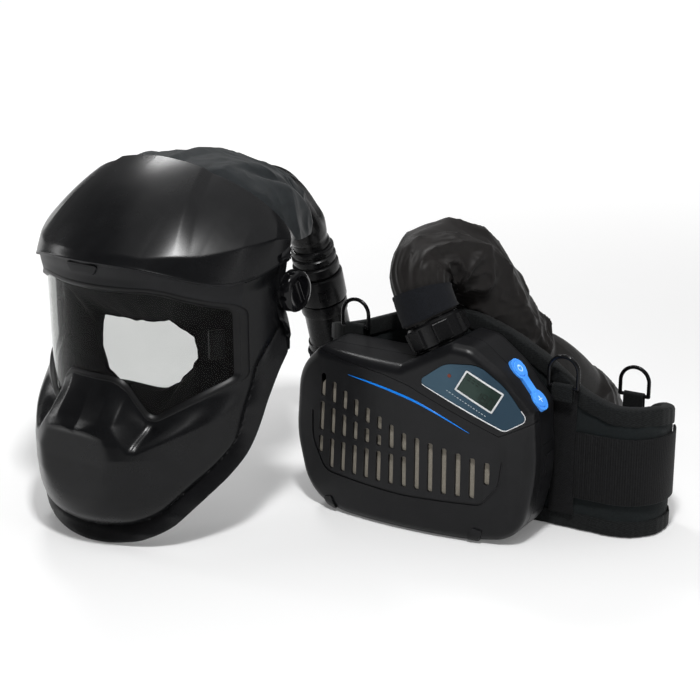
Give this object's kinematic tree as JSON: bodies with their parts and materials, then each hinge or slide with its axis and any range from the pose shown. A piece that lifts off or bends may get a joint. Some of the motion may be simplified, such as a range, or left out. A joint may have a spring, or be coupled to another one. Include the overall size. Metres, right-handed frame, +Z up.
{
  "type": "powered air respirator",
  "caption": "Powered air respirator: tilting black helmet with clear visor and head harness, sleeved breathing hose, and a belt-worn blower with filter grille, display and battery.",
  "frame": {"origin": "on the floor, under the middle of the object without its hose", "axes": "+Z up, the blower's front faces -Y, +X to the right seen from the front"},
  "size_m": [0.5309, 0.4807, 0.308],
  "materials": {
    "shell_plastic": "black moulded shell, satin with a glossy crown",
    "lens_clear": "clear hard-coated polycarbonate, faint grey",
    "gasket_rubber": "black rubber",
    "clip_plastic": "black moulded clips",
    "seal_cloth": "black flame-resistant cloth",
    "knob_plastic": "glossy black knobs",
    "harness_plastic": "dark grey flexible plastic",
    "sweat_foam": "black perforated foam and cloth",
    "steel": "plated steel",
    "duct_plastic": "black duct moulding",
    "ring_plastic": "black lock ring",
    "cover_cloth": "dark grey-green cotton cloth with soft folds",
    "casing_plastic": "satin black moulded casing",
    "label_print": "slate blue printed panel",
    "bezel_white": "white display frame",
    "lcd_green": "grey-green liquid crystal display",
    "lamp_red": "small red lamp",
    "key_blue": "bright blue soft keys",
    "filter_media": "beige filter cloth",
    "seal_rubber": "black foam rubber",
    "fan_plastic": "dark moulded plastic",
    "board_green": "green circuit board",
    "sleeve_cloth": "black-brown nylon sleeve with wrinkles",
    "pad_felt": "charcoal brushed felt",
    "binding_weave": "black herringbone binding",
    "elastic_weave": "ribbed black elastic",
    "webbing": "black woven webbing",
    "buckle_plastic": "black buckle plastic",
    "ring_wire": "black coated wire"
  },
  "bodies": {
    "root": {"headband": "harness_plastic", "sweatband": "sweat_foam", "rear_pad": "sweat_foam", "crown_straps": "harness_plastic", "side_arms": "harness_plastic", "pivot_bolts": "steel", "pivot_washers": "steel", "ratchet_housing": "harness_plastic", "air_duct": "duct_plastic", "hose_connector": "duct_plastic", "head_cover": "cover_cloth", "upper_casing": "casing_plastic", "rear_casing": "casing_plastic", "casing_screws": "steel", "control_label": "label_print", "lcd_bezel": "bezel_white", "lcd": "lcd_green", "status_led": "lamp_red", "keypad": "key_blue", "hepa_filter": "filter_media", "filter_seal": "seal_rubber", "fan_housing": "fan_plastic", "motor": "steel", "circuit_board": "board_green", "belt_bracket": "casing_plastic", "outlet_spigot": "ring_plastic", "hose": "sleeve_cloth", "belt_pad": "pad_felt", "belt_binding": "binding_weave", "elastic_band": "elastic_weave", "ring_strap": "elastic_weave", "belt_webbing": "webbing", "buckle_socket": "buckle_plastic", "strap_slider": "buckle_plastic", "ring_loops": "binding_weave"},
    "visor": {"helmet_shell": "shell_plastic", "lens": "lens_clear", "lens_gasket": "gasket_rubber", "lens_clips": "clip_plastic", "face_seal": "seal_cloth"},
    "latch": {"brow_latch": "clip_plastic"},
    "knob_left": {"pivot_knob_left": "knob_plastic"},
    "knob_right": {"pivot_knob_right": "knob_plastic"},
    "ratchet": {"ratchet_knob": "knob_plastic"},
    "lock_ring": {"connector_ring": "ring_plastic"},
    "collar": {"outlet_collar": "ring_plastic"},
    "power_key": {"power_button": "key_blue"},
    "flow_key": {"flow_button": "key_blue"},
    "fan_wheel": {"impeller": "fan_plastic"},
    "cover": {"front_cover": "casing_plastic", "cover_clips": "casing_plastic", "prefilter": "filter_media"},
    "battery": {"battery": "casing_plastic"},
    "battery_catch": {"battery_latch": "casing_plastic"},
    "ring_left": {"ring_left": "ring_wire"},
    "ring_middle": {"ring_middle": "ring_wire"},
    "ring_right": {"ring_right": "ring_wire"},
    "buckle": {"buckle_plug": "buckle_plastic", "strap_tail": "webbing"}
  },
  "joints": [
    {"name": "helmet_tilt", "type": "hinge", "parent": "root", "child": "visor", "pos_m": [-0.13337, -0.05124, 0.205], "axis": [-0.9976, 0.0698, 0], "range_deg": [0, 45], "deforming": ["head_cover"]},
    {"name": "latch_press", "type": "slide", "parent": "visor", "child": "latch", "axis": [0.0698, 0.9976, 0], "range_m": [0, 0.0015], "stiffness_N_per_m": 400, "springref_m": -0.002},
    {"name": "knob_left_turn", "type": "hinge", "parent": "root", "child": "knob_left", "pos_m": [-0.25607, -0.04266, 0.205], "axis": [-0.9976, 0.0698, 0], "continuous": true},
    {"name": "knob_right_turn", "type": "hinge", "parent": "root", "child": "knob_right", "pos_m": [-0.01067, -0.05982, 0.205], "axis": [0.9976, -0.0698, 0], "continuous": true},
    {"name": "ratchet_turn", "type": "hinge", "parent": "root", "child": "ratchet", "pos_m": [-0.12556, 0.06049, 0.207], "axis": [0.0698, 0.9976, 0], "continuous": true},
    {"name": "lock_ring_turn", "type": "hinge", "parent": "root", "child": "lock_ring", "pos_m": [-0.11919, 0.15155, 0.14857], "axis": [0.0213, 0.3047, -0.9522], "range_deg": [0, 35]},
    {"name": "collar_turn", "type": "hinge", "parent": "root", "child": "collar", "pos_m": [0.08953, 0.01126, 0.1567], "axis": [-0.4856, 0, 0.8742], "range_deg": [-35, 0]},
    {"name": "power_press", "type": "slide", "parent": "root", "child": "power_key", "axis": [-0.7727, 0, -0.6347], "range_m": [0, 0.0012], "stiffness_N_per_m": 500, "springref_m": -0.001},
    {"name": "flow_press", "type": "slide", "parent": "root", "child": "flow_key", "axis": [-0.7727, 0, -0.6347], "range_m": [0, 0.0012], "stiffness_N_per_m": 500, "springref_m": -0.001},
    {"name": "fan_spin", "type": "hinge", "parent": "root", "child": "fan_wheel", "pos_m": [0.03253, 0.01626, 0.074], "axis": [0, 1, 0], "continuous": true},
    {"name": "cover_off", "type": "slide", "parent": "root", "child": "cover", "axis": [0, -1, 0], "range_m": [0, 0.04]},
    {"name": "battery_out", "type": "slide", "parent": "root", "child": "battery", "axis": [1, 0, 0], "range_m": [0, 0.07]},
    {"name": "battery_catch_press", "type": "slide", "parent": "battery", "child": "battery_catch", "axis": [-1, 0, 0], "range_m": [0, 0.0015], "stiffness_N_per_m": 500, "springref_m": -0.001},
    {"name": "ring_left_swing", "type": "hinge", "parent": "root", "child": "ring_left", "pos_m": [-0.01547, 0.04456, 0.149], "axis": [1, 0, 0], "range_deg": [0, 65]},
    {"name": "ring_middle_swing", "type": "hinge", "parent": "root", "child": "ring_middle", "pos_m": [0.18553, 0.04196, 0.127], "axis": [1, 0, 0], "range_deg": [0, 50]},
    {"name": "ring_right_swing", "type": "hinge", "parent": "root", "child": "ring_right", "pos_m": [0.21453, 0.12896, 0.1], "axis": [-1, 0, 0], "range_deg": [0, 65]},
    {"name": "buckle_pull", "type": "slide", "parent": "root", "child": "buckle", "axis": [1, 0, 0], "range_m": [0, 0.03]}
  ]
}
